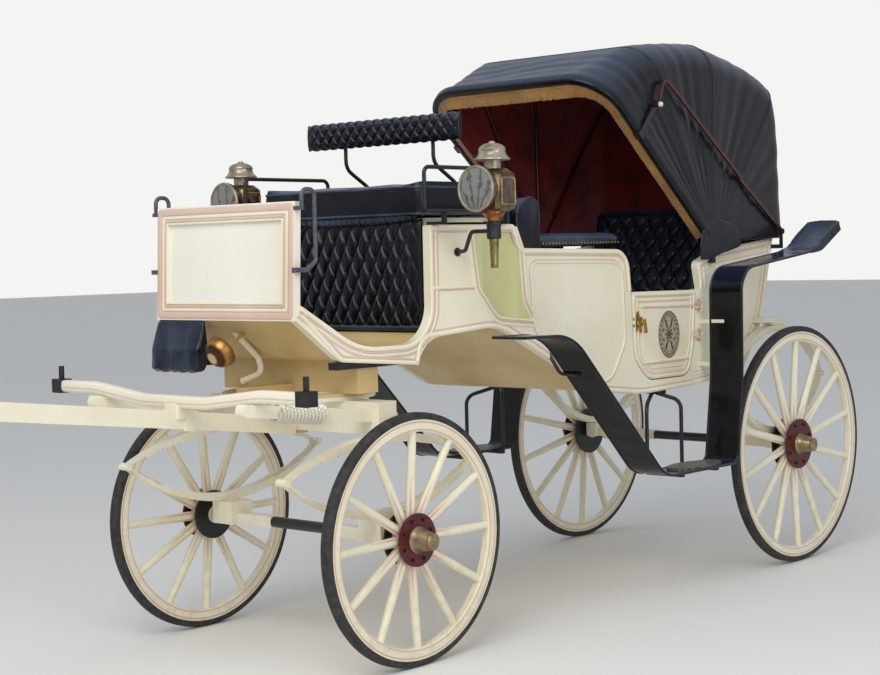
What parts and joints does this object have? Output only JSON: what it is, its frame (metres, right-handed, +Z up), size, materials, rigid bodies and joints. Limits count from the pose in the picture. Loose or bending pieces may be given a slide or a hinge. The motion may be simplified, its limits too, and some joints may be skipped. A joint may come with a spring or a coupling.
{
  "type": "horse drawn carriage",
  "caption": "Open four wheeled carriage with a folding hood, facing seats, low doors, a raised driver's seat and a pole",
  "frame": {"origin": "on the ground, at the middle of the whole length and width", "axes": "+X forward along the pole, +Y to the carriage's left, +Z up"},
  "size_m": [6.5108, 1.606, 2.487],
  "materials": {
    "cream_paint": "cream gloss coach paint over wood",
    "cream_iron": "cream gloss paint over forged iron",
    "black_iron": "black gloss paint over forged iron",
    "patent_leather": "black patent leather over iron and board",
    "black_leather": "black buttoned leather over stuffing",
    "hood_leather": "black hood leather with a blue sheen",
    "red_paint": "dark red gloss paint over forged iron",
    "lamp_black": "black lamp cases, with glass and brass set in",
    "brass": "polished brass",
    "tyre": "black solid rubber",
    "tan_paint": "cream paint over boards"
  },
  "bodies": {
    "body": {"body_side_left": "cream_paint", "body_side_right": "cream_paint", "door_hinge_pins": "brass", "dashboard": "cream_paint", "body_boards": "tan_paint", "seat_boxes": "tan_paint", "driver_seat_pads": "black_leather", "driver_seat_irons": "black_iron", "cabin_cushions": "black_leather", "cabin_backs": "black_leather", "lamps": "lamp_black", "foot_gong": "brass", "toe_board_stay": "cream_iron", "splash_flap": "patent_leather", "wings": "patent_leather", "step_treads": "cream_iron", "body_irons": "black_iron", "rear_hangers": "cream_iron", "rear_springs": "cream_iron", "rear_axle": "cream_iron", "top_bed": "cream_iron"},
    "fore_carriage": {"front_springs": "cream_iron", "front_axle": "cream_iron", "lower_bed": "cream_iron", "futchells": "cream_paint", "splinter_bar": "cream_paint", "splinter_bar_ends": "black_iron", "pole": "cream_paint"},
    "door_left": {"door_left": "cream_paint", "door_hardware_left": "brass"},
    "door_right": {"door_right": "cream_paint", "door_hardware_right": "brass"},
    "hood_rear": {"hood_bow_rear": "red_paint", "hood_leather_curtain": "hood_leather"},
    "hood_third": {"hood_bow_third": "red_paint", "hood_leather_rear": "hood_leather"},
    "hood_second": {"hood_bow_second": "red_paint", "hood_leather_middle": "hood_leather"},
    "hood_front": {"hood_bow_front": "red_paint", "hood_leather_front": "hood_leather"},
    "joint_iron_lower": {"joint_irons_lower": "red_paint"},
    "joint_iron_upper": {"joint_irons_upper": "red_paint"},
    "wheel_front_left": {"wheel_front_left_wood": "cream_paint", "wheel_front_left_tyre": "tyre", "wheel_front_left_hub": "red_paint"},
    "wheel_front_right": {"wheel_front_right_wood": "cream_paint", "wheel_front_right_tyre": "tyre", "wheel_front_right_hub": "red_paint"},
    "wheel_rear_left": {"wheel_rear_left_wood": "cream_paint", "wheel_rear_left_tyre": "tyre", "wheel_rear_left_hub": "red_paint"},
    "wheel_rear_right": {"wheel_rear_right_wood": "cream_paint", "wheel_rear_right_tyre": "tyre", "wheel_rear_right_hub": "red_paint"}
  },
  "joints": [
    {"name": "steering", "type": "hinge", "parent": "body", "child": "fore_carriage", "pos_m": [-0.0045, 0, 1], "axis": [0, 0, 1], "range_deg": [-60, 60]},
    {"name": "roll_front_left", "type": "hinge", "parent": "fore_carriage", "child": "wheel_front_left", "pos_m": [-0.0045, 0.577, 0.475], "axis": [0, 1, 0], "continuous": true},
    {"name": "roll_front_right", "type": "hinge", "parent": "fore_carriage", "child": "wheel_front_right", "pos_m": [-0.0045, -0.577, 0.475], "axis": [0, 1, 0], "continuous": true},
    {"name": "roll_rear_left", "type": "hinge", "parent": "body", "child": "wheel_rear_left", "pos_m": [-2.6845, 0.634, 0.571], "axis": [0, 1, 0], "continuous": true},
    {"name": "roll_rear_right", "type": "hinge", "parent": "body", "child": "wheel_rear_right", "pos_m": [-2.6845, -0.634, 0.571], "axis": [0, 1, 0], "continuous": true},
    {"name": "door_left_swing", "type": "hinge", "parent": "body", "child": "door_left", "pos_m": [-2.0785, 0.519, 1.2], "axis": [0, 0, 1], "range_deg": [0, 85]},
    {"name": "door_right_swing", "type": "hinge", "parent": "body", "child": "door_right", "pos_m": [-2.0785, -0.519, 1.2], "axis": [0, 0, -1], "range_deg": [0, 85]},
    {"name": "hood_fold", "type": "hinge", "parent": "body", "child": "hood_rear", "pos_m": [-2.1845, 0, 1.556], "axis": [0, -1, 0], "range_deg": [0, 41.5], "deforming": ["hood_leather_curtain"]},
    {"name": "hood_third_fold", "type": "hinge", "parent": "hood_rear", "child": "hood_third", "pos_m": [-2.1845, 0, 1.556], "axis": [0, -1, 0], "range_deg": [0, 31], "deforming": ["hood_leather_rear"]},
    {"name": "hood_second_fold", "type": "hinge", "parent": "hood_third", "child": "hood_second", "pos_m": [-2.1845, 0, 1.556], "axis": [0, -1, 0], "range_deg": [0, 23], "deforming": ["hood_leather_middle"]},
    {"name": "hood_front_fold", "type": "hinge", "parent": "hood_second", "child": "hood_front", "pos_m": [-2.1845, 0, 1.556], "axis": [0, -1, 0], "range_deg": [0, 13], "deforming": ["hood_leather_front"]},
    {"name": "joint_iron_swing", "type": "hinge", "parent": "body", "child": "joint_iron_lower", "pos_m": [-2.7745, 0, 1.604], "axis": [0, 1, 0], "range_deg": [0, 92.6]},
    {"name": "joint_iron_knuckle", "type": "hinge", "parent": "joint_iron_lower", "child": "joint_iron_upper", "pos_m": [-2.3788, 0, 1.8625], "axis": [0, -1, 0], "range_deg": [0, 189.2]}
  ],
  "couplings": [
    {"joint": "hood_third_fold", "follows": "hood_fold", "ratio": 0.7349},
    {"joint": "hood_second_fold", "follows": "hood_fold", "ratio": 0.5422},
    {"joint": "hood_front_fold", "follows": "hood_fold", "ratio": 0.3012},
    {"joint": "joint_iron_swing", "follows": "hood_fold", "ratio": 2.2072},
    {"joint": "joint_iron_knuckle", "follows": "hood_fold", "ratio": 4.5349}
  ]
}
